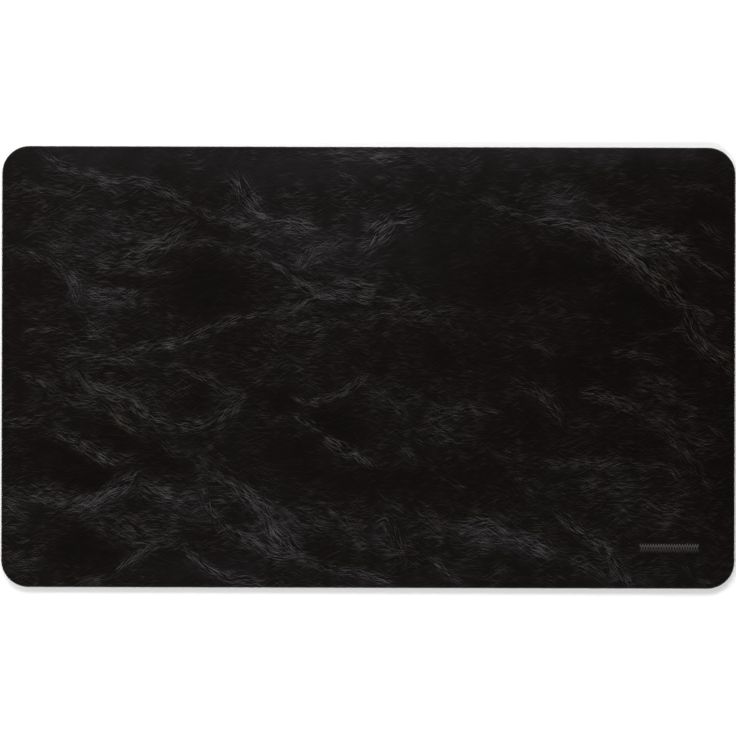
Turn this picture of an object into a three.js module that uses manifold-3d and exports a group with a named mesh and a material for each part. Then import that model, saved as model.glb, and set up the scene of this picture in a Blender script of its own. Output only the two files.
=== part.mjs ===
// Leather desk mat, in millimetres. +X runs along the long side, +Y away from the user, +Z up.
// The origin is the middle of the underside. The mat is a flat laminate: a leather top glued
// through a stiffener board to a suede backing, with its cut edge sealed by one bead of paint.
import * as THREE from 'three';
import { mergeVertices } from 'three/addons/utils/BufferGeometryUtils.js';
import Module from 'manifold-3d';

const wasm = await Module();
wasm.setup();

// Overall size.
const MAT_LENGTH = 600;
const MAT_DEPTH = 361;
const CORNER_RADIUS = 22.3;
const CORNER_SEGMENTS = 12;

// Layer thicknesses, from the desk upwards. All are multiples of 1/16 mm, which 32-bit numbers
// hold exactly, so each layer lies face to face on the one below it.
const BACKING_THICKNESS = 0.75;
const FILM_THICKNESS = 0.125;
const BOARD_THICKNESS = 1;
const LEATHER_THICKNESS = 1.5;

const BACKING_TOP = BACKING_THICKNESS;
const LOWER_FILM_TOP = BACKING_TOP + FILM_THICKNESS;
const BOARD_TOP = LOWER_FILM_TOP + BOARD_THICKNESS;
const UPPER_FILM_TOP = BOARD_TOP + FILM_THICKNESS;
const MAT_THICKNESS = UPPER_FILM_TOP + LEATHER_THICKNESS;

// The layers are cut this far inside the outline. The paint stands round them with a small gap.
const LAYER_INSET = 0.5;
const PAINT_GAP = 0.1;
const PAINT_INSET = LAYER_INSET - PAINT_GAP;
// The paint stops short of the desk, and its corners are rounded off by its own surface tension.
const PAINT_BOTTOM = 0.25;
const PAINT_ROUNDING = 0.25;
// The leather's upper edge is bevelled at 45 degrees, and the paint fills the bevel.
const LEATHER_BEVEL = 0.5;

// The blind-stamped border near the right front corner: a lattice of two crossing zigzags.
const LATTICE_CELLS = 11;
const LATTICE_LENGTH = 48;
const LATTICE_HEIGHT = 6.5;
const LATTICE_STROKE = 0.7;
const LATTICE_IMPRESSION = 0.3125;
const LATTICE_END_TO_RIGHT_EDGE = 29.5;
const LATTICE_FOOT_TO_FRONT_EDGE = 30;

function material(color, roughness) {
  return new THREE.MeshStandardMaterial({ color, roughness, metalness: 0 });
}

const blackLeather = material(0x1c1a1b, 0.55);
const blackEdgePaint = material(0x0c0b0b, 0.45);
const fibreBoard = material(0x5a4330, 0.9);
const clearFilm = material(0xc9c2ad, 0.35);
const blackSuede = material(0x201f21, 0.95);

/** The mat's rounded rectangle, moved inwards by inset. Each arc joins the next by a straight side. */
function matOutline(inset) {
  const radius = CORNER_RADIUS - inset;
  const centreX = MAT_LENGTH / 2 - CORNER_RADIUS;
  const centreY = MAT_DEPTH / 2 - CORNER_RADIUS;
  const quarter = Math.PI / 2;
  const outline = new THREE.Shape();
  outline.absarc(centreX, -centreY, radius, -quarter, 0);
  outline.absarc(centreX, centreY, radius, 0, quarter);
  outline.absarc(-centreX, centreY, radius, quarter, 2 * quarter);
  outline.absarc(-centreX, -centreY, radius, 2 * quarter, 3 * quarter);
  return outline;
}

/** A flat layer of the mat's outline that starts at z = 0. */
function layerGeometry(inset, thickness) {
  return new THREE.ExtrudeGeometry(matOutline(inset), {
    depth: thickness,
    bevelEnabled: false,
    curveSegments: CORNER_SEGMENTS,
  });
}

/** A layer from bottom to top whose upper and lower edges are both bevelled. */
function bevelledGeometry(inset, bottom, top, bevel, segments) {
  const geometry = new THREE.ExtrudeGeometry(matOutline(inset), {
    depth: top - bottom - 2 * bevel,
    bevelThickness: bevel,
    bevelSize: bevel,
    bevelOffset: -bevel,
    bevelSegments: segments,
    curveSegments: CORNER_SEGMENTS,
  });
  return geometry.translate(0, 0, bottom + bevel);
}

/** Turns a closed geometry into a solid that can be cut and joined. */
function solidFrom(geometry) {
  const bare = geometry.clone();
  bare.deleteAttribute('normal');
  bare.deleteAttribute('uv');
  const welded = mergeVertices(bare, 1e-4);
  return new wasm.Manifold(new wasm.Mesh({
    numProp: 3,
    vertProperties: new Float32Array(welded.attributes.position.array),
    triVerts: new Uint32Array(welded.index.array),
  }));
}

/** Turns a solid back into a geometry. */
function geometryFrom(solid) {
  const mesh = solid.getMesh();
  const geometry = new THREE.BufferGeometry();
  geometry.setAttribute('position', new THREE.BufferAttribute(mesh.vertProperties, 3));
  geometry.setIndex(new THREE.BufferAttribute(mesh.triVerts, 1));
  geometry.computeVertexNormals();
  return geometry;
}

/** A closed box that takes away everything below the height z. */
function everythingBelow(z) {
  const reach = MAT_LENGTH;
  const box = new THREE.BoxGeometry(2 * reach, 2 * reach, reach);
  return solidFrom(box.translate(0, 0, z - reach / 2));
}

/** The lattice's strokes as one solid that is pressed into the leather's upper face. */
function latticeStamp() {
  const halfCells = 2 * LATTICE_CELLS;
  const run = (LATTICE_LENGTH - LATTICE_STROKE) / halfCells;
  const rise = LATTICE_HEIGHT - LATTICE_STROKE;
  const slope = Math.atan2(rise, run);
  const strokeLength = Math.hypot(run, rise) + LATTICE_STROKE / 2;
  const left = MAT_LENGTH / 2 - LATTICE_END_TO_RIGHT_EDGE - LATTICE_LENGTH + LATTICE_STROKE / 2;
  const middleY = -MAT_DEPTH / 2 + LATTICE_FOOT_TO_FRONT_EDGE + LATTICE_HEIGHT / 2;
  let stamp = null;
  for (let i = 0; i < halfCells; i += 1) {
    for (const tilt of [slope, -slope]) {
      const stroke = new THREE.BoxGeometry(strokeLength, LATTICE_STROKE, 2 * LATTICE_IMPRESSION);
      stroke.rotateZ(tilt);
      stroke.translate(left + (i + 0.5) * run, middleY, MAT_THICKNESS);
      const solid = solidFrom(stroke);
      stamp = stamp ? stamp.add(solid) : solid;
    }
  }
  return stamp;
}

/** The leather: bevelled along its upper edge, flat below, with the lattice pressed into it. */
function leatherGeometry() {
  const blank = bevelledGeometry(LAYER_INSET, 0, MAT_THICKNESS, LEATHER_BEVEL, 1);
  const cut = solidFrom(blank).subtract(everythingBelow(UPPER_FILM_TOP));
  return geometryFrom(cut.subtract(latticeStamp()));
}

/** The paint: a rounded bead round the outline, hollowed out to clear the layers inside it. */
function edgePaintGeometry() {
  const outside = bevelledGeometry(0, PAINT_BOTTOM, MAT_THICKNESS, PAINT_ROUNDING, 3);
  const inside = bevelledGeometry(PAINT_INSET, -MAT_THICKNESS, MAT_THICKNESS, LEATHER_BEVEL, 1);
  return geometryFrom(solidFrom(outside).subtract(solidFrom(inside)));
}

const deskMat = new THREE.Group();

function addPiece(name, geometry, surface, bottom = 0) {
  const piece = new THREE.Mesh(geometry, surface);
  piece.name = name;
  piece.position.z = bottom;
  deskMat.add(piece);
}

addPiece('suede_backing', layerGeometry(LAYER_INSET, BACKING_THICKNESS), blackSuede);
addPiece('lower_adhesive_film', layerGeometry(LAYER_INSET, FILM_THICKNESS), clearFilm, BACKING_TOP);
addPiece('stiffener_board', layerGeometry(LAYER_INSET, BOARD_THICKNESS), fibreBoard, LOWER_FILM_TOP);
addPiece('upper_adhesive_film', layerGeometry(LAYER_INSET, FILM_THICKNESS), clearFilm, BOARD_TOP);
addPiece('leather_top', leatherGeometry(), blackLeather);
addPiece('edge_paint', edgePaintGeometry(), blackEdgePaint);

export default deskMat;
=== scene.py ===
"""A black waxed-leather desk mat, lying flat and seen from straight above."""
import math

import bpy
import numpy as np
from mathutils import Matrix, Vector


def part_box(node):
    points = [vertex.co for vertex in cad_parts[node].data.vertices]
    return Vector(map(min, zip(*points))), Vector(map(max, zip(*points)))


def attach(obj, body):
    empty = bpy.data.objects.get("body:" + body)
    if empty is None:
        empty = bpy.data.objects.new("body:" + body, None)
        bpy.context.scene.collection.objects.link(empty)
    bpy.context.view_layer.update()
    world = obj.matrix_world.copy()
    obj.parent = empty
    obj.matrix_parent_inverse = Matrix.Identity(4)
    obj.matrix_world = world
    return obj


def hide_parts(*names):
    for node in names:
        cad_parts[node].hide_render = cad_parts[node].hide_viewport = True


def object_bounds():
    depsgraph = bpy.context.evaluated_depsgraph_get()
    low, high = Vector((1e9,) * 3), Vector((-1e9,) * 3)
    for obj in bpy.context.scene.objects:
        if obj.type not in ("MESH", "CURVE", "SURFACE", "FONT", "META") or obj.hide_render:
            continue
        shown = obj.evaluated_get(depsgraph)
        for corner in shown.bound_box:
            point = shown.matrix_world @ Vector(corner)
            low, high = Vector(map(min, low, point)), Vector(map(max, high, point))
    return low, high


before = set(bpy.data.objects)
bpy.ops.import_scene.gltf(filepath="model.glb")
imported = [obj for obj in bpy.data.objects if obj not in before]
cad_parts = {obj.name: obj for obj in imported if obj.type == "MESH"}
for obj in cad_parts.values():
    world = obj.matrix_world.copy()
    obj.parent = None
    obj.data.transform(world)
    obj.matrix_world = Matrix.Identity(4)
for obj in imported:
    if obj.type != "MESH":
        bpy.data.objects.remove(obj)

CAD_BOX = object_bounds()
MM = 0.001

# The mat's driving dimensions, from the frame, in metres.
(LOW_X, LOW_Y, LOW_Z), (HIGH_X, HIGH_Y, HIGH_Z) = CAD_BOX
HALF_LENGTH = (HIGH_X - LOW_X) / 2
HALF_DEPTH = (HIGH_Y - LOW_Y) / 2
LEATHER_LOW, LEATHER_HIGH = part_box("leather_top")
BACKING_LOW, BACKING_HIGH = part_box("suede_backing")
LAYER_INSET = HIGH_X - LEATHER_HIGH[0]
CORNER_RADIUS = 22.3 * MM

# The leather's upper face ends under the lip of the edge paint, and from there a bevel of
# (inset, drop) rings, in millimetres, leads down to the cut side.
FACE_INSET = 1.05 * MM
FACE_CELL = 1.6 * MM
BEVEL_RINGS = ((0.95, 0.02), (0.75, 0.14), (0.6, 0.3), (0.5, 0.52))

# The blind-stamped lattice, in metres: its middle, its size and its stroke.
STAMP_LENGTH = 48 * MM
STAMP_HEIGHT = 6.5 * MM
STAMP_CELLS = 11
STAMP_STROKE = 0.7 * MM
STAMP_DEPTH = 0.3 * MM
STAMP_X = HALF_LENGTH - 29.5 * MM - STAMP_LENGTH / 2
STAMP_Y = -HALF_DEPTH + 30 * MM + STAMP_HEIGHT / 2
# The mesh round the stamp is cut this many times finer, over a box this much larger.
FINE_PARTS = 7
STAMP_MARGIN = 1 * MM

# The bead's cross-section: inset, height and unevenness, in millimetres, from its foot outwards,
# up over the rim and back down the layers' side.
EDGE_STEP = 1.5 * MM
EDGE_SECTION = (
    (0.44, 0.27, 0.00),
    (0.22, 0.27, 0.02),
    (0.08, 0.44, 0.02),
    (0.01, 0.85, 0.01),
    (0.00, 1.50, 0.00),
    (0.00, 2.25, 0.00),
    (0.02, 2.75, 0.01),
    (0.10, 3.12, 0.02),
    (0.26, 3.36, 0.03),
    (0.46, 3.49, 0.04),
    (0.68, 3.54, 0.06),
    (0.86, 3.54, 0.09),
    (0.98, 3.53, 0.12),
    (0.74, 3.44, 0.00),
    (0.58, 3.22, 0.00),
    (0.47, 2.96, 0.00),
    (0.45, 0.40, 0.00),
)

# The suede's underside: the size of its nap's cells and how deep the brushed hollows are.
SUEDE_CELL = 3 * MM
SUEDE_INSET = 0.9 * MM
NAP_DEPTH = 0.09 * MM

# Creases in the leather: half width in millimetres, strength, which is about 1 in the strongest,
# then points in millimetres from the middle of the mat. Each list follows one fold, with
# only the points its shape needs.
CREASES = (
    # across the upper left quarter
    (5, 0.7, (-268, 176), (-254, 166), (-238, 160), (-216, 155), (-199, 152)),
    (4, 0.45, (-286, 147), (-266, 144), (-244, 141), (-226, 148), (-206, 150)),
    (4, 0.6, (-226, 151), (-214, 147), (-203, 140)),
    (4.5, 0.75, (-200, 152), (-182, 151), (-168, 144), (-154, 134), (-140, 128)),
    (4, 1.0, (-142, 129), (-128, 122), (-112, 119), (-94, 118)),
    (5, 0.4, (-250, 123), (-230, 126), (-212, 124), (-194, 122)),
    (6, 0.45, (-274, 112), (-258, 114), (-240, 108)),
    (5, 0.6, (-222, 112), (-204, 108), (-184, 104), (-160, 101)),
    (6, 0.75, (-226, 82), (-206, 84), (-188, 89), (-172, 99), (-156, 111), (-140, 122)),
    (5, 0.5, (-272, 101), (-250, 94), (-220, 92)),
    (3, 0.65, (-300, 93), (-290, 96), (-278, 92), (-266, 86)),
    (4.5, 0.9, (-261, 87), (-250, 79), (-241, 70), (-239, 60), (-238, 50)),
    (7, 0.85, (-230, 60), (-214, 56), (-202, 57), (-189, 62)),
    (2.5, 0.5, (-198, 84), (-184, 79), (-170, 77), (-158, 80)),
    (3, 0.45, (-266, 47), (-252, 49), (-240, 50)),
    (3, 0.5, (-282, 27), (-266, 31), (-250, 31), (-243, 27)),
    (6, 0.45, (-236, 41), (-226, 33), (-214, 24)),
    (4, 0.85, (-192, 13), (-174, 17), (-154, 20), (-134, 29), (-112, 37), (-92, 43)),
    (5, 0.55, (-252, 12), (-232, 9), (-212, 7), (-190, 2)),
    (3.5, 0.5, (-166, 99), (-150, 97), (-134, 103), (-118, 99), (-98, 96)),
    (7, 0.75, (-112, 158), (-104, 146), (-96, 134), (-84, 124)),
    (3, 1.0, (-90, 124), (-74, 121), (-56, 117), (-40, 112)),
    (4, 0.4, (-78, 112), (-60, 110), (-44, 105)),
    # upper middle
    (4, 0.65, (-100, 97), (-84, 89), (-70, 80), (-58, 70), (-42, 61), (-28, 58)),
    (6, 0.8, (-60, 78), (-52, 88), (-42, 96), (-28, 100), (-18, 103)),
    (5, 0.65, (-30, 68), (-16, 67), (0, 64), (13, 64)),
    (4, 1.0, (-60, 48), (-48, 56), (-32, 59), (-12, 57), (12, 55)),
    (3.5, 0.5, (12, 55), (30, 56), (46, 57)),
    (4, 0.4, (-92, 42), (-70, 45), (-52, 47)),
    (4, 0.45, (-58, 30), (-40, 34), (-20, 40), (8, 42), (40, 44), (70, 48)),
    (7, 0.95, (-2, 100), (10, 111), (22, 120), (42, 127)),
    (5, 0.45, (-12, 86), (-2, 96), (8, 104)),
    (3, 0.6, (-24, 160), (-16, 156), (-10, 152)),
    (2.5, 0.5, (8, 156), (18, 151), (30, 146)),
    (6, 0.55, (-36, 172), (-10, 173), (16, 171), (46, 169)),
    (2.5, 0.45, (62, 39), (70, 34), (80, 28)),
    (6, 0.35, (-88, 33), (-80, 24), (-76, 12)),
    (4, 0.4, (-80, 34), (-66, 31), (-50, 34)),
    # the long folds of the upper right quarter
    (3, 0.7, (90, 139), (106, 133), (122, 126), (138, 122)),
    (6, 0.7, (130, 121), (152, 119), (172, 117), (186, 111), (200, 100)),
    (8, 0.9, (186, 117), (204, 110), (226, 104), (246, 101), (266, 98)),
    (7, 0.9, (196, 104), (210, 94), (224, 84), (238, 70), (250, 60), (260, 50)),
    (7, 0.85, (260, 50), (264, 38), (270, 26), (280, 14), (290, 5), (298, -3)),
    (5, 0.5, (226, 96), (240, 88), (256, 78)),
    (4, 0.6, (258, 92), (272, 85), (284, 80), (297, 74)),
    (9, 0.5, (146, 136), (160, 142), (176, 150)),
    (5, 0.5, (180, 138), (194, 128), (208, 118)),
    (3, 0.55, (244, 56), (262, 50), (280, 45), (297, 41)),
    (3, 0.4, (214, 20), (228, 26), (244, 29), (260, 33)),
    (4, 0.5, (194, 14), (212, 12), (228, 9), (244, 2)),
    (3, 0.45, (130, 22), (142, 16), (154, 9)),
    (3, 0.35, (110, 38), (124, 43), (148, 43), (176, 41), (200, 38)),
    (4, 0.35, (268, 121), (280, 112), (292, 105)),
    (3, 0.35, (254, 148), (270, 147), (286, 144)),
    # lower left quarter
    (4, 0.75, (-284, -7), (-268, -14), (-254, -24), (-236, -29), (-216, -32)),
    (3.5, 0.6, (-218, -31), (-206, -40), (-196, -48), (-186, -57)),
    (6, 0.85, (-240, -4), (-228, -15), (-210, -21), (-194, -28), (-180, -41), (-160, -48)),
    (6, 0.75, (-162, -48), (-144, -49), (-128, -45), (-114, -34), (-100, -24)),
    (4, 0.65, (-301, -48), (-286, -46), (-272, -42), (-262, -39)),
    (5, 0.9, (-258, -54), (-244, -59), (-230, -66), (-216, -74), (-202, -81)),
    (4, 0.5, (-208, -71), (-198, -74), (-188, -72)),
    (3.5, 0.55, (-174, -59), (-164, -68), (-154, -72), (-140, -66)),
    (7, 0.9, (-248, -118), (-232, -114), (-216, -106), (-202, -98), (-188, -88)),
    (8, 0.7, (-278, -106), (-258, -109), (-240, -113)),
    (7, 0.7, (-196, -94), (-180, -101), (-164, -107), (-146, -110)),
    (6, 0.6, (-142, -74), (-128, -84), (-114, -95), (-100, -107), (-88, -118)),
    (4, 0.6, (-136, -98), (-130, -114), (-118, -131), (-100, -143), (-84, -154)),
    (9, 0.6, (-222, -126), (-204, -133), (-186, -140), (-172, -144)),
    (4, 0.65, (-236, -179), (-216, -172), (-196, -160), (-178, -148), (-156, -137)),
    (4, 0.8, (-151, -143), (-142, -156), (-130, -166), (-112, -173), (-84, -178)),
    (9, 0.5, (-300, -112), (-292, -116), (-282, -120)),
    (9, 0.45, (-298, -158), (-286, -162), (-272, -160)),
    (4, 0.55, (-166, 0), (-148, -3), (-132, -10), (-118, -18), (-98, -22)),
    (8, 0.35, (-184, -16), (-170, -24), (-154, -32)),
    (8, 0.45, (-170, -118), (-154, -124), (-136, -126)),
    # lower middle
    (3.5, 0.85, (-52, -31), (-40, -28), (-26, -22), (-12, -14), (-1, -6)),
    (2.5, 0.7, (-62, -24), (-56, -28), (-50, -31)),
    (4, 0.5, (1, -16), (12, -21), (22, -30), (34, -44)),
    (2.5, 0.4, (-92, -40), (-76, -42), (-58, -41)),
    (3, 1.1, (-60, -40), (-46, -49), (-30, -59), (-14, -70), (4, -81)),
    (3.5, 0.6, (-38, -62), (-26, -68), (-12, -74)),
    (5, 0.55, (50, -33), (66, -36), (82, -34), (98, -36), (114, -39)),
    (7, 0.4, (54, -46), (62, -54), (68, -62)),
    (3, 0.4, (78, -56), (88, -65)),
    (3, 0.35, (26, -62), (34, -72), (40, -82)),
    (3, 0.35, (60, -90), (70, -95), (82, -100)),
    (7, 1.0, (-104, -98), (-92, -110), (-82, -122), (-74, -136), (-64, -148), (-54, -154)),
    (6, 0.8, (-106, -136), (-90, -143), (-76, -152), (-58, -156)),
    (4, 0.75, (-62, -155), (-44, -159), (-22, -166), (0, -171), (22, -176)),
    (5, 0.5, (-42, -110), (-28, -118), (-18, -127), (-8, -137)),
    (8, 0.45, (-64, -121), (-46, -127), (-26, -133)),
    (5, 0.55, (-12, -139), (4, -146), (22, -149), (40, -148)),
    (6, 0.5, (4, -128), (14, -126), (20, -134), (25, -146), (30, -159)),
    (5, 0.45, (12, -106), (22, -113), (34, -120)),
    (9, 0.4, (44, -122), (58, -130), (72, -134)),
    (7, 0.75, (72, -126), (96, -129), (116, -135), (134, -144), (154, -155)),
    (6, 0.45, (76, -142), (96, -144), (118, -147)),
    (3.5, 0.65, (51, -154), (60, -163), (67, -171), (76, -179)),
    (4, 0.4, (80, -115), (92, -121)),
    # lower right quarter
    (5, 0.6, (118, -9), (132, -15), (144, -25), (155, -37), (164, -47)),
    (5, 0.45, (164, -49), (178, -47), (190, -50)),
    (5, 0.85, (174, -20), (190, -22), (206, -28), (224, -36)),
    (9, 0.5, (218, -10), (238, -17), (258, -26)),
    (6, 0.5, (226, -38), (244, -45), (262, -58), (284, -64)),
    (5, 0.5, (244, -52), (256, -66), (268, -82), (284, -100)),
    (3, 0.4, (278, -47), (292, -58)),
    (4, 0.6, (144, -76), (160, -79), (182, -79), (206, -78), (236, -80), (258, -92)),
    (8, 0.4, (170, -92), (194, -96), (220, -100)),
    (6, 0.5, (200, -116), (210, -122), (224, -126)),
    (5, 0.8, (154, -117), (168, -129), (184, -141), (196, -153), (206, -168), (214, -179)),
    (4, 0.4, (104, -68), (120, -74), (132, -78)),
    (4, 0.35, (118, -88), (128, -96), (140, -108)),
    (9, 0.45, (222, -112), (246, -118), (270, -122)),
    (4, 0.4, (274, -131), (284, -136), (294, -142)),
    (4, 0.45, (256, -160), (266, -169), (284, -176)),
    (4, 0.45, (164, -155), (180, -163), (196, -175)),
)

# In millimetres: folds are followed in steps of CREASE_STEP, and each starts its hairlines
# CREASE_OFFSET further on, so that no two look alike.
# In half widths: a fold is felt out to CREASE_REACH on each side, and two folds share a layer only
# if the gap between their lines is more than CREASE_CLEARANCE times their half widths together.
CREASE_STEP = 1.5
CREASE_OFFSET = 37.0
CREASE_REACH = 3.2
CREASE_CLEARANCE = 2.1

# How far the outlines of folds and patches wander, as a share of unevenness's own few millimetres.
CREASE_WANDER = 0.5
PATCH_WANDER = 1.7

# How proud the folds stand, how low the ground beside them lies and where both fade at the rim.
FOLD_HEIGHT = 0.18 * MM
FOLD_TROUGH = 0.13 * MM
RELIEF_FADE = 12 * MM

# Patches of the hide: middle and half sizes in millimetres, tilt in degrees, tone and wrinkles. Some
# paint light instead: strips of painted light along the back and front edges, and painted shade over
# the right part.
# Tone is above 0 where the wax has gone pale and below 0 where it is deep. Wrinkles is how much
# fine creasing a patch has beyond the folds, below 0 where the grain is pulled smooth. The values
# were chosen and then corrected until each part of the mat was about as light as it should be.
PATCHES = (
    # Painted light: the back edge paler, as where the back softbox's light grazes it.
    (0, 180, 330, 16, 0, 0.55, 0.0),
    (170, 182, 150, 12, 0, 0.6, 0.0),
    # Painted shade: the right part darker, where less light falls.
    (275, 10, 110, 130, 0, -0.6, -0.32),
    (-250, 0, 60, 110, 0, -0.15, 0.0),
    (-200, 165, 110, 24, -4, 0.36, -0.2),
    (-50, 120, 70, 45, 0, 0.35, 0.0),
    (-215, 172, 40, 10, 0, 0.1, -0.5),
    (-60, 160, 60, 16, 0, 0.5, -0.35),
    (60, 158, 80, 16, 0, 0.45, -0.15),
    (190, 172, 110, 14, 0, 0.35, -0.2),
    (-10, 175, 45, 7, 0, 0.6, 0.2),
    (-236, 60, 12, 18, 10, 0.7, 0.0),
    (-210, 54, 24, 12, 0, 0.5, 0.5),
    (-240, 112, 46, 22, 0, 0.28, 0.2),
    (-215, 96, 50, 14, 0, 0.2, 0.15),
    (-195, 124, 40, 10, 0, 0.1, 0.3),
    (-80, 110, 40, 14, 0, 0.35, 0.35),
    (-10, 100, 56, 34, 0, 0.35, 0.15),
    (160, 138, 22, 18, 0, 0.6, 0.2),
    (222, 104, 44, 12, -12, 0.25, 0.5),
    (240, 72, 34, 16, -45, 0.0, 0.25),
    (274, 34, 26, 14, -40, 0.0, 0.25),
    (-222, 30, 22, 16, 0, 0.25, 0.4),
    (-225, 6, 44, 12, 0, 0.1, 0.45),
    (-215, -18, 30, 10, -20, 0.2, 0.4),
    (-170, -20, 24, 16, -30, 0.0, 0.45),
    (-75, 16, 24, 22, 0, 0.0, 0.35),
    (-52, 34, 36, 10, 0, 0.0, 0.4),
    (20, 44, 50, 8, 0, 0.0, 0.3),
    (-258, -108, 40, 13, -6, 0.15, 0.6),
    (-290, -118, 16, 24, 0, 0.2, 0.5),
    (-286, -162, 22, 14, 0, 0.15, 0.45),
    (-195, -132, 36, 15, -20, 0.1, 0.55),
    (-150, -108, 36, 16, 0, 0.4, 0.4),
    (-220, -108, 20, 10, 25, 0.5, 0.2),
    (-72, -128, 18, 24, 50, 0.5, 0.35),
    (-100, -140, 24, 16, -40, 0.15, 0.4),
    (-40, -126, 34, 12, -10, 0.0, 0.35),
    (8, -138, 12, 14, 0, 0.5, 0.2),
    (110, -143, 44, 11, -12, 0.5, 0.25),
    (60, -134, 30, 16, 0, 0.1, 0.35),
    (60, -50, 34, 22, 0, 0.0, 0.3),
    (-130, -165, 60, 14, 0, 0.35, -0.2),
    (200, -94, 44, 22, 0, 0.1, 0.35),
    (210, -105, 9, 30, 0, 0.3, 0.0),
    (250, -24, 44, 20, -15, 0.05, 0.45),
    (262, -62, 30, 20, -25, 0.05, 0.5),
    (248, -118, 44, 16, 0, 0.0, 0.4),
    (200, -152, 20, 30, 30, 0.1, 0.35),
    # Painted light: the front edge paler, as where the front softbox's light grazes it.
    (230, -172, 60, 9, 0, 0.3, 0.0),
    (20, -172, 120, 9, 0, 0.3, 0.0),
    (-126, 66, 32, 25, 0, -0.9, -0.6),
    (-130, 112, 26, 7, 0, -0.3, -0.3),
    (-150, 128, 20, 12, 0, -0.3, 0.0),
    (-105, 14, 28, 16, 20, -0.5, -0.1),
    (-196, 70, 26, 6, 0, -0.35, -0.3),
    (60, 100, 50, 34, 0, 0.2, -0.55),
    (120, 72, 40, 26, 0, -0.6, -0.4),
    (170, 80, 34, 14, 0, -0.6, -0.3),
    (276, 130, 26, 20, 0, -0.5, -0.2),
    (216, 44, 34, 20, 0, -0.6, -0.3),
    (60, 5, 60, 22, 0, -0.45, -0.2),
    (170, 0, 50, 22, 0, -0.5, -0.2),
    (-24, -46, 24, 14, -32, -0.7, -0.5),
    (-78, -26, 20, 10, 0, -0.5, -0.3),
    (-58, -74, 30, 16, -30, -0.6, -0.5),
    (4, -94, 44, 14, 0, -0.4, -0.3),
    (-228, -90, 34, 10, -10, -1.0, -0.7),
    (-250, -72, 20, 7, -25, -0.7, -0.6),
    (-206, -56, 15, 11, -30, -0.8, -0.6),
    (-280, -66, 18, 14, 0, -0.4, -0.1),
    (-230, -150, 30, 14, 0, -0.8, -0.6),
    (-145, -28, 24, 11, 0, -0.5, -0.4),
    (-170, -76, 20, 10, -20, -0.6, -0.4),
    (80, -92, 50, 22, 0, -0.5, -0.2),
    (130, -48, 40, 22, 0, -0.5, -0.2),
    (205, -64, 36, 8, 0, -0.4, 0.1),
    (288, -100, 12, 50, 0, -0.4, 0.0),
    (-280, 70, 20, 18, 0, -0.1, -0.4),
    (-150, -170, 40, 7, 0, 0.0, -0.4),
)

# The hairlines in the folds and over the ground: length and spacing in millimetres, and slant.
FOLD_FILAMENTS = ((14, 0.66, 0.0), (12, 0.60, 0.27), (12, 0.60, -0.27))
GROUND_FILAMENTS = ((10, 0.68, 0.05), (9, 0.64, 0.5), (9, 0.64, -0.45))

# The hairlines come and go in clumps about this large, and the ground's lines bend as they run:
# they drift by so many millimetres, over lumps of this size.
FOLD_CLUMP = 11 * MM
GROUND_CLUMP = 16 * MM
GROUND_DRIFT = (15.0, 12.0, 0.0)
DRIFT_SIZE = 60 * MM

# The leather's colours: the wax from deepest to palest, the lines in it and the stamp's pale colour, a
# painted highlight on its walls.
WAX_COLOURS = (
    (0.0, (0.0011, 0.0002, 0.0001)),
    (0.25, (0.0020, 0.0010, 0.0006)),
    (0.42, (0.0028, 0.0022, 0.0016)),
    (0.62, (0.0051, 0.0040, 0.0043)),
    (1.0, (0.0096, 0.0079, 0.0088)),
)
DEEP_LINE = (0.0004, 0.0003, 0.0003, 1)
WARM_LINE = (0.078, 0.067, 0.061, 1)
COOL_LINE = (0.080, 0.072, 0.078, 1)
STAMP_PAINTED_HIGHLIGHT = (0.085, 0.080, 0.080, 1)

# The sizes of what varies over the leather, and the depths of its relief.
WRINKLE_SIZE = 22 * MM
MOTTLE_SIZE = 26 * MM
GRAIN_SIZE, GRAIN_DEPTH = 1.4 * MM, 0.08 * MM
PORE_SIZE, PORE_DEPTH = 0.55 * MM, 0.03 * MM
HAIR_DEPTH = 0.15 * MM


def curve_through(points, step):
    """Points a step apart on the smooth curve through the given ones, with its directions."""
    p = np.array([points[0], *points, points[-1]], float)
    out = []
    for a, b, c, d in zip(p, p[1:], p[2:], p[3:]):
        count = max(2, int(np.linalg.norm(c - b) / step))
        t = np.linspace(0, 1, count, endpoint=False)[:, None]
        out.append(b + 0.5 * t * (c - a + t * (2 * a - 5 * b + 4 * c - d
                                               + t * (3 * (b - c) + d - a))))
    line = np.vstack(out)
    return line, np.gradient(line, axis=0)


def smooth(t):
    """A soft step from 0 to 1 as t goes from 0 to 1."""
    t = np.clip(t, 0, 1)
    return t * t * (3 - 2 * t)


def unevenness(xy, amount):
    """A wandering shift of a few millimetres, so that no fold or patch has a ruled outline."""
    x, y = xy.T / MM
    slow_x = np.sin(x / 13 + y / 9 + 1) + np.sin(y / 6.1 - x / 19)
    slow_y = np.sin(x / 10 - y / 15) + np.sin(x / 6.7 + y / 21 + 2)
    fast_x = np.sin(x / 3.1 + y / 2.3) + np.sin(y / 1.9 - x / 4.7 + 1)
    fast_y = np.sin(x / 2.7 - y / 3.7 + 2) + np.sin(x / 1.7 + y / 5.3)
    return amount * np.column_stack([slow_x + 0.3 * fast_x, 0.8 * slow_y + 0.3 * fast_y])


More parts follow.
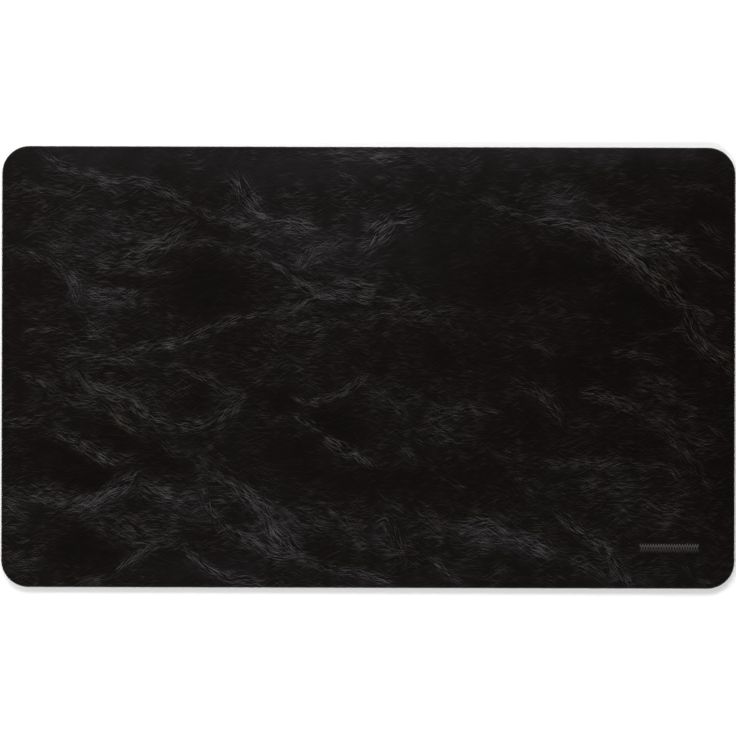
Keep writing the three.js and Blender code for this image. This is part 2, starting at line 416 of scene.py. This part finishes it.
class Crease:
    """One fold: its curve run on straight past both ends, where it fades out."""

    def __init__(self, order, half_width, strength, points):
        self.half_width = half_width
        self.strength = strength
        self.start = order * CREASE_OFFSET
        line, heading = curve_through(points, CREASE_STEP)
        heading /= np.linalg.norm(heading, axis=1)[:, None]
        steps_on = int((1.2 * half_width + 4) / CREASE_STEP)
        run_on = np.arange(1, steps_on + 1)[:, None] * CREASE_STEP
        before = line[0] - run_on[::-1] * heading[0]
        after = line[-1] + run_on * heading[-1]
        self.line = np.vstack([before, line, after])
        self.heading = np.vstack([np.repeat(heading[:1], len(before), axis=0), heading,
                                  np.repeat(heading[-1:], len(after), axis=0)])
        step = np.linalg.norm(np.diff(self.line, axis=0), axis=1)
        self.along = np.concatenate([[0], np.cumsum(step)])

    def clear_of(self, other):
        """Whether another fold is far enough away to share a layer with this one."""
        gap = np.linalg.norm(self.line[:, None] - other.line[None], axis=2).min()
        return gap > CREASE_CLEARANCE * (self.half_width + other.half_width)

    def coordinates(self, at):
        """Distance along the fold, signed distance across it and its strength, at points."""
        closest = np.linalg.norm(at[:, None] - self.line[None], axis=2).argmin(axis=1)
        away = at - self.line[closest]
        heading = self.heading[closest]
        along = self.along[closest] + (away * heading).sum(axis=1)
        across = heading[:, 0] * away[:, 1] - heading[:, 1] * away[:, 0]
        length = self.along[-1]
        fade = min(0.5 * length, 3 * self.half_width + 6)
        taper = smooth(along / fade) * smooth((length - along) / fade)
        width = 1.15 * self.half_width * (0.4 + 0.6 * taper)
        weight = self.strength * taper * np.exp(-(across / width) ** 2)
        return along + self.start, across, weight


def crease_layers():
    """Sorts the folds into layers in which no two folds touch."""
    layers = []
    for order, (half_width, strength, *points) in enumerate(CREASES):
        crease = Crease(order, half_width, strength, points)
        for layer in layers:
            if all(crease.clear_of(other) for other in layer):
                layer.append(crease)
                break
        else:
            layers.append([crease])
    return layers


def crease_fields(xy):
    """Each layer's coordinates along and across its folds, the folds' strength and their haze."""
    at = xy / MM + unevenness(xy, CREASE_WANDER)
    band = np.zeros(len(at))
    haze = np.zeros(len(at))
    fields = []
    for layer in LAYERS:
        field = np.zeros((len(at), 3))
        nearest = np.full(len(at), np.inf)
        for crease in layer:
            reach = CREASE_REACH * crease.half_width
            near = np.all((at > crease.line.min(0) - reach) & (at < crease.line.max(0) + reach),
                          axis=1)
            along, across, weight = crease.coordinates(at[near])
            ahead = np.abs(across) / crease.half_width < nearest[near]
            chosen = np.flatnonzero(near)[ahead]
            nearest[chosen] = np.abs(across[ahead]) / crease.half_width
            field[chosen] = np.column_stack([along, across, weight])[ahead]
            spread = crease.strength * np.sqrt(np.sqrt(weight / crease.strength))
            haze[near] = np.maximum(haze[near], spread)
            band[near] = 1 - (1 - band[near]) * (1 - np.minimum(weight, 0.98))
        fields.append(field)
    return fields, band, haze


def patch_fields(xy):
    """Tone and wrinkles from the patches, whose rims are as uneven as the folds."""
    at = xy / MM + unevenness(xy, PATCH_WANDER)
    tone = np.zeros(len(at))
    wrinkles = np.zeros(len(at))
    for x, y, half_x, half_y, tilt, level, creased in PATCHES:
        c, s = math.cos(math.radians(tilt)), math.sin(math.radians(tilt))
        u = ((at[:, 0] - x) * c + (at[:, 1] - y) * s) / half_x
        v = ((at[:, 1] - y) * c - (at[:, 0] - x) * s) / half_y
        share = np.exp(-1.1 * (u * u + v * v) ** 1.4)
        tone += level * share
        wrinkles += creased * share
    return tone, wrinkles


def lattice_depth(xy):
    """How deep the stamp presses: two crossing zigzags, soft at their sides."""
    run = (STAMP_LENGTH - STAMP_STROKE) / (2 * STAMP_CELLS)
    rise = (STAMP_HEIGHT - STAMP_STROKE) / 2
    u = (xy[:, 0] - STAMP_X) / run + STAMP_CELLS
    v = (xy[:, 1] - STAMP_Y) / rise
    zigzag = 1 - 2 * np.abs((u % 2) - 1)
    slope = math.hypot(1, 2 * rise / run)
    gap = np.minimum(np.abs(v - zigzag), np.abs(v + zigzag)) * rise / slope
    inside = smooth((STAMP_STROKE * 0.75 - gap) / (STAMP_STROKE * 0.5))
    over = np.maximum(np.abs(u - STAMP_CELLS) - STAMP_CELLS, 0) * run
    return inside * smooth(1 - over / STAMP_STROKE) * (np.abs(v) < 1.3)


def grid_lines(half, radius, cell):
    """Grid lines across one side: fine steps round each corner, equal steps between them."""
    corner = half - radius
    turn = np.linspace(0, radius, max(2, round(radius / cell)) + 1)
    middle = np.linspace(-corner, corner, round(2 * corner / cell) + 1)
    return np.concatenate([-corner - turn[:0:-1], middle, corner + turn[1:]])


def rounded(x, y, half_x, half_y, radius):
    """Bends a rectangle's corners into arcs, leaving everything between them alone."""
    a = (np.abs(x) - (half_x - radius)) / radius
    b = (np.abs(y) - (half_y - radius)) / radius
    corner = (a > 0) & (b > 0)
    a, b = np.where(corner, a, 1), np.where(corner, b, 1)
    reach = np.maximum(a, b)
    angle = np.where(a >= b, b / a, 2 - a / b) * math.pi / 4
    new_x = np.sign(x) * (half_x - radius + radius * reach * np.cos(angle))
    new_y = np.sign(y) * (half_y - radius + radius * reach * np.sin(angle))
    return np.where(corner, new_x, x), np.where(corner, new_y, y)


def gridded_face(xs, ys, fine_box=None):
    """A grid's points, its faces and its rim. Inside fine_box its cells are cut FINE_PARTS finer."""
    rows, columns = len(ys), len(xs)
    grid_x, grid_y = np.meshgrid(xs, ys)
    points = np.column_stack([grid_x.ravel(), grid_y.ravel()])
    index = np.arange(rows * columns).reshape(rows, columns)
    kept = np.ones((rows - 1, columns - 1), bool)
    faces = []
    if fine_box is not None:
        (low_x, low_y), (high_x, high_y) = fine_box
        left, right = np.searchsorted(xs, low_x) - 1, np.searchsorted(xs, high_x)
        front, back = np.searchsorted(ys, low_y) - 1, np.searchsorted(ys, high_y)
        fine_x, fine_y = np.meshgrid(divided(xs[left:right + 1]), divided(ys[front:back + 1]))
        fine = len(points) + np.arange(fine_x.size).reshape(fine_x.shape)
        points = np.vstack([points, np.column_stack([fine_x.ravel(), fine_y.ravel()])])
        index[front:back + 1, left:right + 1] = fine[::FINE_PARTS, ::FINE_PARTS]
        faces += quads_of(fine)
        kept[front:back, left:right] = False
        for column in range(left, right):
            edge = slice((column - left) * FINE_PARTS, (column - left + 1) * FINE_PARTS + 1)
            faces.append([*index[front - 1, column:column + 2], *fine[0, edge][::-1]])
            faces.append([*fine[-1, edge], *index[back + 1, column:column + 2][::-1]])
        for row in range(front, back):
            edge = slice((row - front) * FINE_PARTS, (row - front + 1) * FINE_PARTS + 1)
            faces.append([index[row, left - 1], *fine[edge, 0], index[row + 1, left - 1]])
            faces.append([*index[row:row + 2, right + 1], *fine[edge, -1][::-1]])
        kept[[front - 1, back], left:right] = False
        kept[front:back, [left - 1, right]] = False
    faces += quads_of(index, kept)
    rim = np.concatenate([index[0, :-1], index[:-1, -1], index[-1, :0:-1], index[:0:-1, 0]])
    return points, faces, rim


def divided(lines):
    """Grid lines with FINE_PARTS - 1 more between each two."""
    places = np.arange((len(lines) - 1) * FINE_PARTS + 1) / FINE_PARTS
    return np.interp(places, np.arange(len(lines)), lines)


def quads_of(index, kept=None):
    """The faces between a grid's points, or only those that are kept."""
    quads = np.stack([index[:-1, :-1], index[:-1, 1:], index[1:, 1:], index[1:, :-1]], axis=-1)
    if kept is None:
        return quads.reshape(-1, 4).tolist()
    return quads[kept].tolist()


def outward(points, half_x, half_y, radius):
    """The outline's outward direction at each of its points."""
    core = np.stack([np.clip(points[:, 0], radius - half_x, half_x - radius),
                     np.clip(points[:, 1], radius - half_y, half_y - radius)], axis=1)
    away = points - core
    return away / np.linalg.norm(away, axis=1)[:, None]


def new_mesh(name, vertices, faces):
    """A mesh piece. Vertices that no face uses are left out."""
    used = np.unique(np.concatenate([np.ravel(face) for face in faces]))
    renumbered = np.zeros(len(vertices), int)
    renumbered[used] = np.arange(len(used))
    mesh = bpy.data.meshes.new(name)
    mesh.from_pydata(np.asarray(vertices, float)[used].tolist(), [],
                     [renumbered[face].tolist() for face in faces])
    mesh.polygons.foreach_set("use_smooth", [True] * len(mesh.polygons))
    mesh.validate()
    mesh.update()
    piece = bpy.data.objects.new(name, mesh)
    bpy.context.collection.objects.link(piece)
    return piece


def slab(name, inset, face_z, back_z, cell, face_rings, relief, fine_box=None):
    """A rounded slab with a gridded face, at face_z, and a plain back.

    face_rings step outwards and back from the face's rim, as (inset, drop) pairs. A drop of None
    is the back's own level. relief gives how far the face stands out at each point.
    """
    half_x, half_y = HALF_LENGTH - inset, HALF_DEPTH - inset
    radius = CORNER_RADIUS - inset
    facing = 1 if face_z > back_z else -1
    points, faces, rim = gridded_face(grid_lines(half_x, radius, cell),
                                      grid_lines(half_y, radius, cell), fine_box)
    face = np.column_stack(rounded(points[:, 0], points[:, 1], half_x, half_y, radius))
    direction = outward(face[rim], half_x, half_y, radius)
    vertices = [np.column_stack([face, face_z + facing * relief(face)])]
    last, count = rim, len(face)
    for ring_inset, drop in face_rings:
        ring = face[rim] + direction * (inset - ring_inset)
        level = back_z if drop is None else face_z - facing * drop
        vertices.append(np.column_stack([ring, np.full(len(rim), level)]))
        this = np.arange(count, count + len(rim))
        faces += np.stack([last, this, np.roll(this, -1), np.roll(last, -1)], axis=-1).tolist()
        last, count = this, count + len(rim)
    faces.append(last[::-1].tolist())
    if facing < 0:
        faces = [face[::-1] for face in faces]
    return new_mesh(name, np.vstack(vertices), faces)


def outline(step):
    """Points all round the mat's outline, with their outward directions."""
    points, away = [], []
    turns = np.linspace(0, math.pi / 2, int(CORNER_RADIUS * math.pi / 2 / step))
    long_side = 2 * (HALF_LENGTH - CORNER_RADIUS)
    short_side = 2 * (HALF_DEPTH - CORNER_RADIUS)
    for quarter, (side_x, side_y) in enumerate(((1, -1), (1, 1), (-1, 1), (-1, -1))):
        angle = turns + (quarter - 1) * math.pi / 2
        heading = np.column_stack([np.cos(angle), np.sin(angle)])
        centre = np.array([side_x * long_side / 2, side_y * short_side / 2])
        corner = centre + CORNER_RADIUS * heading
        side = short_side if side_x == -side_y else long_side
        count = round(side / step)
        runs = np.arange(1, count)[:, None] * side / count
        onward = np.array([-heading[-1, 1], heading[-1, 0]])
        points += [corner, corner[-1] + runs * onward]
        away += [heading, np.repeat(heading[-1:], len(runs), axis=0)]
    return np.vstack(points), np.vstack(away)


def edge_bead():
    """The dried edge paint: a rounded bead swept round the mat, a little uneven as if by hand."""
    points, away = outline(EDGE_STEP)
    count = len(points)
    turn = 2 * math.pi * np.arange(count) / count
    wave = 0.5 * np.sin(61 * turn + 1) + 0.3 * np.sin(143 * turn) + 0.2 * np.sin(311 * turn + 2)
    slow = 0.6 * np.sin(17 * turn) + 0.4 * np.sin(41 * turn + 1)
    rings = []
    for inset, height, unevenly in EDGE_SECTION:
        shift = inset * MM + unevenly * MM * (0.6 * wave + 0.4 * slow)
        rings.append(np.column_stack([points - away * shift[:, None],
                                      np.full(count, height * MM)]))
    sections = len(EDGE_SECTION)
    index = np.arange(sections * count).reshape(sections, count)
    across = np.roll(index, -1, axis=0)
    faces = np.stack([index, np.roll(index, -1, axis=1), np.roll(across, -1, axis=1), across],
                     axis=-1).reshape(-1, 4).tolist()
    return new_mesh("edge_bead", np.vstack(rings), faces)


def fields_on(piece):
    """Stores the creases, the patches and the stamp, with the stamp's painted highlight and shade, on
    a piece's vertices for its material.
    """
    mesh = piece.data
    co = np.empty(len(mesh.vertices) * 3)
    mesh.vertices.foreach_get("co", co)
    xy = co.reshape(-1, 3)[:, :2]
    fields, band, haze = crease_fields(xy)
    tone, wrinkles = patch_fields(xy)
    # The stamp is paler on its far half, a painted highlight on the walls that face the light, and
    # darker on its near half, painted shade.
    stamp_painted_light_and_shade = 0.25 + 0.75 * smooth((xy[:, 1] - STAMP_Y) / STAMP_HEIGHT + 0.35)
    for name, values in (("band", band), ("haze", haze), ("tone", tone), ("wrinkles", wrinkles),
                         ("stamp", stamp_painted_light_and_shade * lattice_depth(xy))):
        mesh.attributes.new(name, "FLOAT", "POINT").data.foreach_set("value", values)
    for order, field in enumerate(fields):
        fold = mesh.attributes.new(f"fold_{order}", "FLOAT_VECTOR", "POINT")
        fold.data.foreach_set("vector", field.ravel())


class Surface:
    """A material's node tree, with a short call for each kind of node used here."""

    def __init__(self, name):
        self.material = bpy.data.materials.new(name)
        self.material.use_nodes = True
        self.tree = self.material.node_tree
        self.tree.nodes.clear()
        self.output = self.tree.nodes.new("ShaderNodeOutputMaterial")
        self.shader = self.tree.nodes.new("ShaderNodeBsdfPrincipled")
        self.tree.links.new(self.shader.outputs[0], self.output.inputs["Surface"])
        self.place = self.tree.nodes.new("ShaderNodeTexCoord").outputs["Object"]

    def feed(self, socket, value):
        """Links another node's output to a socket, or sets a constant on it."""
        if isinstance(value, bpy.types.NodeSocket):
            self.tree.links.new(value, socket)
        else:
            socket.default_value = value

    def set(self, **values):
        """Feeds the shader's own sockets, named with _ for each space."""
        for name, value in values.items():
            self.feed(self.shader.inputs[name.replace("_", " ")], value)

    def node(self, kind, settings=(), **inputs):
        """A new node with its settings and its inputs fed."""
        made = self.tree.nodes.new(kind)
        for name, value in dict(settings).items():
            setattr(made, name, value)
        for name, value in inputs.items():
            self.feed(made.inputs[name.replace("_", " ")], value)
        return made

    def math(self, operation, *values):
        made = self.node("ShaderNodeMath", {"operation": operation})
        for socket, value in zip(made.inputs, values):
            self.feed(socket, value)
        return made.outputs[0]

    def attribute(self, name, output="Fac"):
        return self.node("ShaderNodeAttribute", {"attribute_name": name}).outputs[output]

    def shifted(self, seed):
        """The object's coordinates moved well away, for a second noise unlike the first."""
        moved = self.node("ShaderNodeVectorMath", {"operation": "ADD"})
        self.feed(moved.inputs[0], self.place)
        self.feed(moved.inputs[1], (seed, 2 * seed, -seed))
        return moved.outputs[0]

    def noise(self, size, detail=2.0, roughness=0.5, distortion=0.0, place=None):
        """Noise from 0 to 1 whose lumps are about size metres across."""
        made = self.node("ShaderNodeTexNoise", Vector=place or self.place, Scale=1 / size,
                         Detail=detail, Roughness=roughness, Distortion=distortion)
        return made.outputs["Fac"]

    def filaments(self, along, across, seed, length, spacing, lean):
        """Thin lines, pale above 0 and deep below it, leaning from the along direction."""
        leaned = self.math("MULTIPLY_ADD", along, lean, across)
        place = self.node("ShaderNodeCombineXYZ", X=self.math("MULTIPLY", along, 1 / length),
                          Y=self.math("MULTIPLY", leaned, 1 / spacing), Z=seed)
        lumps = self.noise(1.0, detail=0, place=place.outputs[0])
        pale = self.fit(lumps, 0.61, 0.72)
        deep = self.fit(lumps, 0.43, 0.24, 0.0, 0.5)
        return self.math("SUBTRACT", pale, deep)

    def fit(self, value, low, high, new_low=0.0, new_high=1.0, smoothly=True):
        """Maps low to high onto new_low to new_high, softly at both ends unless told not to."""
        kind = "SMOOTHSTEP" if smoothly else "LINEAR"
        made = self.node("ShaderNodeMapRange", {"interpolation_type": kind}, Value=value)
        for socket, level in zip(("From Min", "From Max", "To Min", "To Max"),
                                 (low, high, new_low, new_high)):
            self.feed(made.inputs[socket], level)
        return made.outputs[0]

    def ramp(self, value, *stops):
        """A colour ramp through (place, colour) stops."""
        made = self.node("ShaderNodeValToRGB", Fac=value)
        elements = made.color_ramp.elements
        while len(elements) < len(stops):
            elements.new(0.5)
        for element, (at, colour) in zip(elements, stops):
            element.position = at
            element.color = (*colour, 1)
        return made.outputs[0]

    def blend(self, share, a, b):
        """Colour a with a share of colour b laid over it."""
        made = self.node("ShaderNodeMix", {"data_type": "RGBA"})
        for socket, value in zip((made.inputs[0], made.inputs[6], made.inputs[7]), (share, a, b)):
            self.feed(socket, value)
        return made.outputs[2]

    def bump(self, height, distance, strength=1.0, under=None):
        """Fine relief of the given depth, laid over the relief under it."""
        made = self.node("ShaderNodeBump", Height=height, Distance=distance, Strength=strength)
        if under is not None:
            self.feed(made.inputs["Normal"], under)
        return made.outputs[0]


def fold_hair(s):
    """The hairlines along every fold: bundles that cross it at shallow slants."""
    total = 0.0
    for order in range(len(LAYERS)):
        fold = s.node("ShaderNodeSeparateXYZ", Vector=s.attribute(f"fold_{order}", "Vector"))
        along, across, weight = fold.outputs
        for turn, (length, spacing, lean) in enumerate(FOLD_FILAMENTS):
            seed = 5.3 * order + 2.1 * turn
            line = s.filaments(along, across, seed, length, spacing, lean)
            some = s.fit(s.noise(FOLD_CLUMP, detail=1, place=s.shifted(seed)), 0.31, 0.6)
            share = s.math("MULTIPLY", some, s.fit(weight, 0.0, 0.9, 0.0, 0.78, smoothly=False))
            total = s.math("MULTIPLY_ADD", line, share, total)
    return total


def ground_hair(s):
    """The faint net of hairlines all over the hide, mostly lying along it."""
    warp = s.node("ShaderNodeTexNoise", Vector=s.place, Scale=1 / DRIFT_SIZE, Detail=1.0)
    drift = s.node("ShaderNodeVectorMath", {"operation": "MULTIPLY_ADD"})
    s.feed(drift.inputs[0], warp.outputs["Color"])
    s.feed(drift.inputs[1], GROUND_DRIFT)
    scaled = s.node("ShaderNodeVectorMath", {"operation": "SCALE"}, Scale=1 / MM)
    s.feed(scaled.inputs[0], s.place)
    s.feed(drift.inputs[2], scaled.outputs[0])
    place = s.node("ShaderNodeSeparateXYZ", Vector=drift.outputs[0])
    x, y, _ = place.outputs
    total = 0.0
    for turn, (length, spacing, lean) in enumerate(GROUND_FILAMENTS):
        seed = 40.7 + 3.3 * turn
        line = s.filaments(x, y, seed, length, spacing, lean)
        some = s.fit(s.noise(GROUND_CLUMP, detail=2, place=s.shifted(seed)), 0.36, 0.62)
        total = s.math("MULTIPLY_ADD", line, some, total)
    return total


def leather_material():
    """Black wax over brown leather: paler where it is pulled up, with fine lines in the folds."""
    s = Surface("waxed_leather")
    band = s.attribute("band")
    haze = s.attribute("haze")
    patch_tone = s.attribute("tone")
    wrinkles = s.attribute("wrinkles")
    stamp = s.attribute("stamp")

    patchy = s.fit(s.noise(WRINKLE_SIZE, detail=3), 0.36, 0.66)
    spread = s.math("ADD", s.math("MULTIPLY", patchy, 0.35), wrinkles)
    reach = s.fit(spread, -0.15, 0.85, 0.07, 0.41, smoothly=False)
    folds = fold_hair(s)
    ground = s.math("MULTIPLY", ground_hair(s), reach)
    hair = s.math("ADD", folds, ground)

    mottle = s.noise(MOTTLE_SIZE, detail=5, roughness=0.6)
    # The patches' tone carries painted light along the back and front edges and painted shade over the
    # right part.
    tone = s.math("ADD", s.math("MULTIPLY", patch_tone, 0.40), 0.30)
    tone = s.math("ADD", tone, s.math("MULTIPLY", haze, 0.15))
    tone = s.math("ADD", tone, s.math("MULTIPLY", band, 0.04))
    tone = s.math("ADD", tone, s.math("MULTIPLY", s.math("SUBTRACT", mottle, 0.5), 0.5))
    colour = s.ramp(tone, *WAX_COLOURS)
    # Pale lines are laid over the ground's colour, and deep lines eat into it.
    level = s.fit(tone, 0.0, 0.7, 0.45, 1.0, smoothly=False)
    pale = s.math("MULTIPLY", s.math("MAXIMUM", hair, 0.0), level)
    deep = s.math("MULTIPLY", s.math("MAXIMUM", s.math("MULTIPLY", hair, -1.0), 0.0), 3.0)
    colour = s.blend(s.math("MINIMUM", deep, 0.9), colour, DEEP_LINE)
    line_colour = s.blend(s.fit(tone, 0.25, 0.6), WARM_LINE, COOL_LINE)
    pale = s.math("MINIMUM", s.math("MULTIPLY", pale, 0.86), 0.55)
    colour = s.blend(pale, colour, line_colour)
    # The stamp is laid over in a pale colour, a painted highlight on its walls, paler on its far half
    # and darker on its near half, which is painted shade.
    colour = s.blend(s.math("MULTIPLY", stamp, 0.9), colour, STAMP_PAINTED_HIGHLIGHT)

    relief = s.bump(hair, HAIR_DEPTH)
    relief = s.bump(s.noise(GRAIN_SIZE, detail=2), GRAIN_DEPTH, 0.6, relief)
    relief = s.bump(s.noise(PORE_SIZE, detail=1), PORE_DEPTH, 0.4, relief)
    rough = s.fit(s.math("ADD", haze, s.math("MULTIPLY", mottle, 0.6)), 0.1, 1.2, 0.56, 0.5)
    s.set(Base_Color=colour, Roughness=rough, Normal=relief, Specular_IOR_Level=0.078)
    return s.material


def edge_paint_material():
    """Dried edge paint: black and satin, with the brush's faint unevenness."""
    s = Surface("edge_paint")
    lumps = s.noise(3 * MM, detail=2)
    colour = s.ramp(lumps, (0.3, (0.0026, 0.0025, 0.0025)), (0.7, (0.0052, 0.0050, 0.0050)))
    s.set(Base_Color=colour, Roughness=s.fit(lumps, 0.3, 0.7, 0.48, 0.62),
          Normal=s.bump(lumps, 0.05 * MM, 0.4), Specular_IOR_Level=0.3)
    return s.material


def suede_material():
    """Black microfibre suede: a matt nap, paler where it is brushed the other way."""
    s = Surface("suede")
    nap = s.noise(0.5 * MM, detail=2)
    brushed = s.noise(22 * MM, detail=3, distortion=0.6)
    tone = s.math("ADD", s.math("MULTIPLY", nap, 0.6), s.math("MULTIPLY", brushed, 0.5))
    colour = s.ramp(tone, (0.3, (0.008, 0.0078, 0.0088)), (0.75, (0.024, 0.0235, 0.026)))
    s.set(Base_Color=colour, Roughness=0.95, Normal=s.bump(nap, 0.12 * MM, 0.6),
          Sheen_Weight=0.25, Sheen_Roughness=0.5)
    return s.material


def board_material():
    """Brown board of bonded leather fibres."""
    s = Surface("leather_fibre_board")
    fibre = s.noise(1.8 * MM, detail=4, distortion=1.2)
    colour = s.ramp(fibre, (0.3, (0.06, 0.032, 0.017)), (0.7, (0.15, 0.088, 0.05)))
    s.set(Base_Color=colour, Roughness=0.9, Normal=s.bump(fibre, 0.08 * MM, 0.5))
    return s.material


def adhesive_material():
    """Dry glue, smeared by the spreader."""
    s = Surface("dry_adhesive")
    smear = s.noise(6 * MM, detail=3, distortion=0.8)
    colour = s.ramp(smear, (0.3, (0.42, 0.38, 0.28)), (0.7, (0.62, 0.58, 0.46)))
    s.set(Base_Color=colour, Roughness=s.fit(smear, 0.3, 0.7, 0.3, 0.5),
          Normal=s.bump(smear, 0.04 * MM, 0.4))
    return s.material


def floor_material():
    s = Surface("pale_floor")
    s.set(Base_Color=(0.9, 0.9, 0.9, 1), Roughness=0.9, Specular_IOR_Level=0.1)
    return s.material


def give(piece, material):
    """Makes a material the piece's only one."""
    piece.data.materials.clear()
    piece.data.materials.append(material)


# --- The leather --------------------------------------------------------------------------

LAYERS = crease_layers()


def leather_relief(face):
    """The top's relief: folds stand a little proud, and the stamp is pressed in."""
    _, band, haze = crease_fields(face)
    rim = np.minimum(HALF_LENGTH - np.abs(face[:, 0]), HALF_DEPTH - np.abs(face[:, 1]))
    fade = smooth((rim - FACE_INSET) / RELIEF_FADE)
    return fade * (FOLD_HEIGHT * band - FOLD_TROUGH * haze) - STAMP_DEPTH * lattice_depth(face)


stamp_reach = (STAMP_LENGTH / 2 + STAMP_MARGIN, STAMP_HEIGHT / 2 + STAMP_MARGIN)
stamp_box = ((STAMP_X - stamp_reach[0], STAMP_Y - stamp_reach[1]),
             (STAMP_X + stamp_reach[0], STAMP_Y + stamp_reach[1]))

leather = slab("leather_sheet", FACE_INSET, LEATHER_HIGH[2], LEATHER_LOW[2], FACE_CELL,
               [*((ring * MM, drop * MM) for ring, drop in BEVEL_RINGS), (LAYER_INSET, None)],
               leather_relief, stamp_box)
fields_on(leather)
give(leather, leather_material())
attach(leather, "root")
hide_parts("leather_top")


# --- The suede underside --------------------------------------------------------------------

def nap_relief(face):
    """The nap lies in brushed hollows, and its highest strands touch the desk."""
    x, y = face.T / MM
    brushed = np.sin(x / 7 + 1.5 * np.sin(y / 11)) + np.sin(y / 5 + 1.8 * np.sin(x / 17 + 1))
    tufted = np.sin(x / 1.3 + y / 2.1) * np.sin(y / 1.7 - x / 2.9 + 1)
    return -NAP_DEPTH * (0.5 + 0.17 * brushed + 0.16 * tufted)


suede = slab("suede_base", SUEDE_INSET, BACKING_LOW[2], BACKING_HIGH[2], SUEDE_CELL,
             [(0.66 * MM, 0.08 * MM), (LAYER_INSET, 0.26 * MM), (LAYER_INSET, None)], nap_relief)
give(suede, suede_material())
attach(suede, "root")
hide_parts("suede_backing")


# --- The painted edge -----------------------------------------------------------------------

bead = edge_bead()
give(bead, edge_paint_material())
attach(bead, "root")
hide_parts("edge_paint")


# --- The CAD nodes that keep their shape ----------------------------------------------------

give(bpy.data.objects["stiffener_board"], board_material())
adhesive = adhesive_material()
for film in ("upper_adhesive_film", "lower_adhesive_film"):
    give(bpy.data.objects[film], adhesive)


# --- Floor, light and camera ---------------------------------------------------------------

# The mat fills all but a hair of the frame's width, turned a very little, as it does in the photo.
FRAME_SHARE = 0.9965
CAMERA_PLACE = (-0.25 * MM, -0.5 * MM)
CAMERA_ROLL = 0.15
LENS = 120.0
SENSOR = 36.0
FAR_CLIP = 50

# The floor reaches as far as the softboxes light it evenly, and the pale studio goes on from there.
FLOOR_X = 0.5
FLOOR_Y = 0.8
FLOOR_GAP = 0.2 * MM

# The studio's brightness at the horizon and overhead, and the heights between which it changes.
HORIZON, ZENITH = 1.05, 0.001
HORIZON_END, ZENITH_START = 0.05, 0.7


def add_floor():
    """The plain pale floor, a hair below the mat."""
    floor = new_mesh("floor", [(-FLOOR_X, -FLOOR_Y, 0), (FLOOR_X, -FLOOR_Y, 0),
                               (FLOOR_X, FLOOR_Y, 0), (-FLOOR_X, FLOOR_Y, 0)],
                     [[0, 1, 2, 3]])
    floor.location.z = LOW_Z - FLOOR_GAP
    give(floor, floor_material())


def add_softbox(name, place, width, height, power):
    """A rectangular lamp aimed at the middle of the mat: place and sizes in metres, watts."""
    light = bpy.data.lights.new(name, "AREA")
    light.shape = "RECTANGLE"
    light.size = width
    light.size_y = height
    light.energy = power
    lamp = bpy.data.objects.new(name, light)
    lamp.location = place
    lamp.rotation_euler = (-Vector(place)).to_track_quat("-Z", "Y").to_euler()
    bpy.context.collection.objects.link(lamp)


def add_world():
    """A studio room that is pale round the sides and dark overhead."""
    world = bpy.data.worlds.new("studio")
    bpy.context.scene.world = world
    world.use_nodes = True
    tree = world.node_tree
    place = tree.nodes.new("ShaderNodeTexCoord")
    split = tree.nodes.new("ShaderNodeSeparateXYZ")
    level = tree.nodes.new("ShaderNodeMapRange")
    level.interpolation_type = "SMOOTHSTEP"
    level.inputs["From Min"].default_value = HORIZON_END
    level.inputs["From Max"].default_value = ZENITH_START
    level.inputs["To Min"].default_value = HORIZON
    level.inputs["To Max"].default_value = ZENITH
    tree.links.new(place.outputs["Generated"], split.inputs[0])
    tree.links.new(split.outputs["Z"], level.inputs["Value"])
    sky = tree.nodes["Background"]
    sky.inputs["Color"].default_value = (1, 1, 1, 1)
    tree.links.new(level.outputs[0], sky.inputs["Strength"])


def add_camera():
    """A long lens straight above the mat."""
    camera = bpy.data.cameras.new("camera")
    camera.lens = LENS
    camera.sensor_width = SENSOR
    camera.clip_end = FAR_CLIP
    holder = bpy.data.objects.new("camera", camera)
    view_width = 2 * HALF_LENGTH / FRAME_SHARE
    holder.location = (*CAMERA_PLACE, HIGH_Z + view_width * LENS / SENSOR)
    holder.rotation_euler = (0, 0, math.radians(CAMERA_ROLL))
    bpy.context.collection.objects.link(holder)
    bpy.context.scene.camera = holder


add_floor()
add_softbox("back_softbox", (-0.15, 1.05, 0.72), 1.8, 0.5, 25)
add_softbox("front_softbox", (0.0, -1.15, 0.72), 1.8, 0.5, 19)
add_softbox("left_softbox", (-1.4, 0.2, 0.9), 0.6, 1.2, 5)
add_world()
add_camera()
bpy.context.scene.view_settings.view_transform = "Standard"
